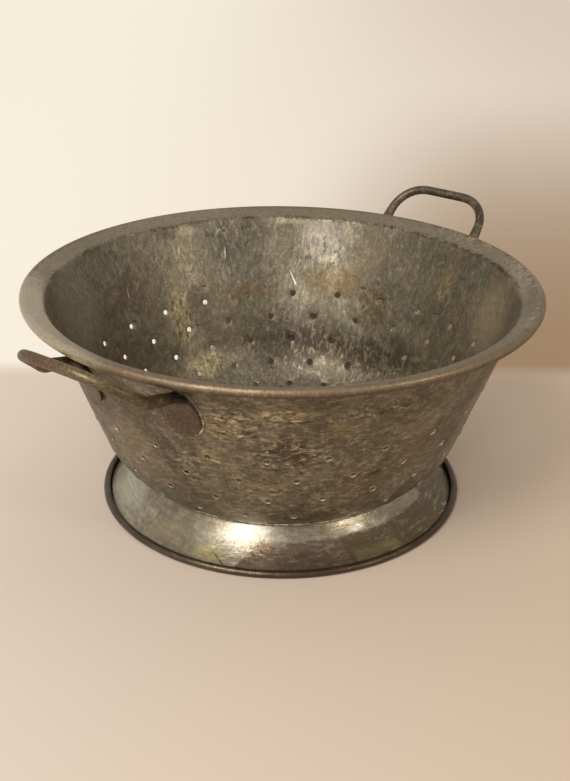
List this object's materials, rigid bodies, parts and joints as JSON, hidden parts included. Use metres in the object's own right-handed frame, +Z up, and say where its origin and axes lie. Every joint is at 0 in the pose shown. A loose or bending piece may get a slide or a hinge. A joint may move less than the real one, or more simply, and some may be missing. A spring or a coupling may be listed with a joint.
{
  "type": "colander",
  "caption": "Footed metal colander with a punched sheet bowl, a wired rim, a flared foot ring and soldered rod handles.",
  "frame": {"origin": "middle of the circle on which the foot rests, at the level of the table", "axes": "+Z up along the bowl's axis, +X from the middle towards the right handle, +Y along the rim a quarter turn on"},
  "size_m": [0.3963, 0.33, 0.1637],
  "materials": {
    "tinned_steel": "aged hot-dipped tin with a dark olive-brown patina",
    "foot_tin": "worn tin, smooth and brighter than the bowl",
    "iron_wire": "bare drawn wire, rusted brown",
    "iron_rod": "forged rod, reddish brown with worn tin",
    "soft_solder": "dull grey tin solder"
  },
  "bodies": {
    "root": {"bowl": "tinned_steel", "rim_wire": "iron_wire", "foot_ring": "foot_tin", "foot_wire": "iron_wire", "foot_solder": "soft_solder", "right_handle": "iron_rod", "left_handle": "iron_rod", "right_handle_solder": "soft_solder", "left_handle_solder": "soft_solder"}
  },
  "joints": []
}
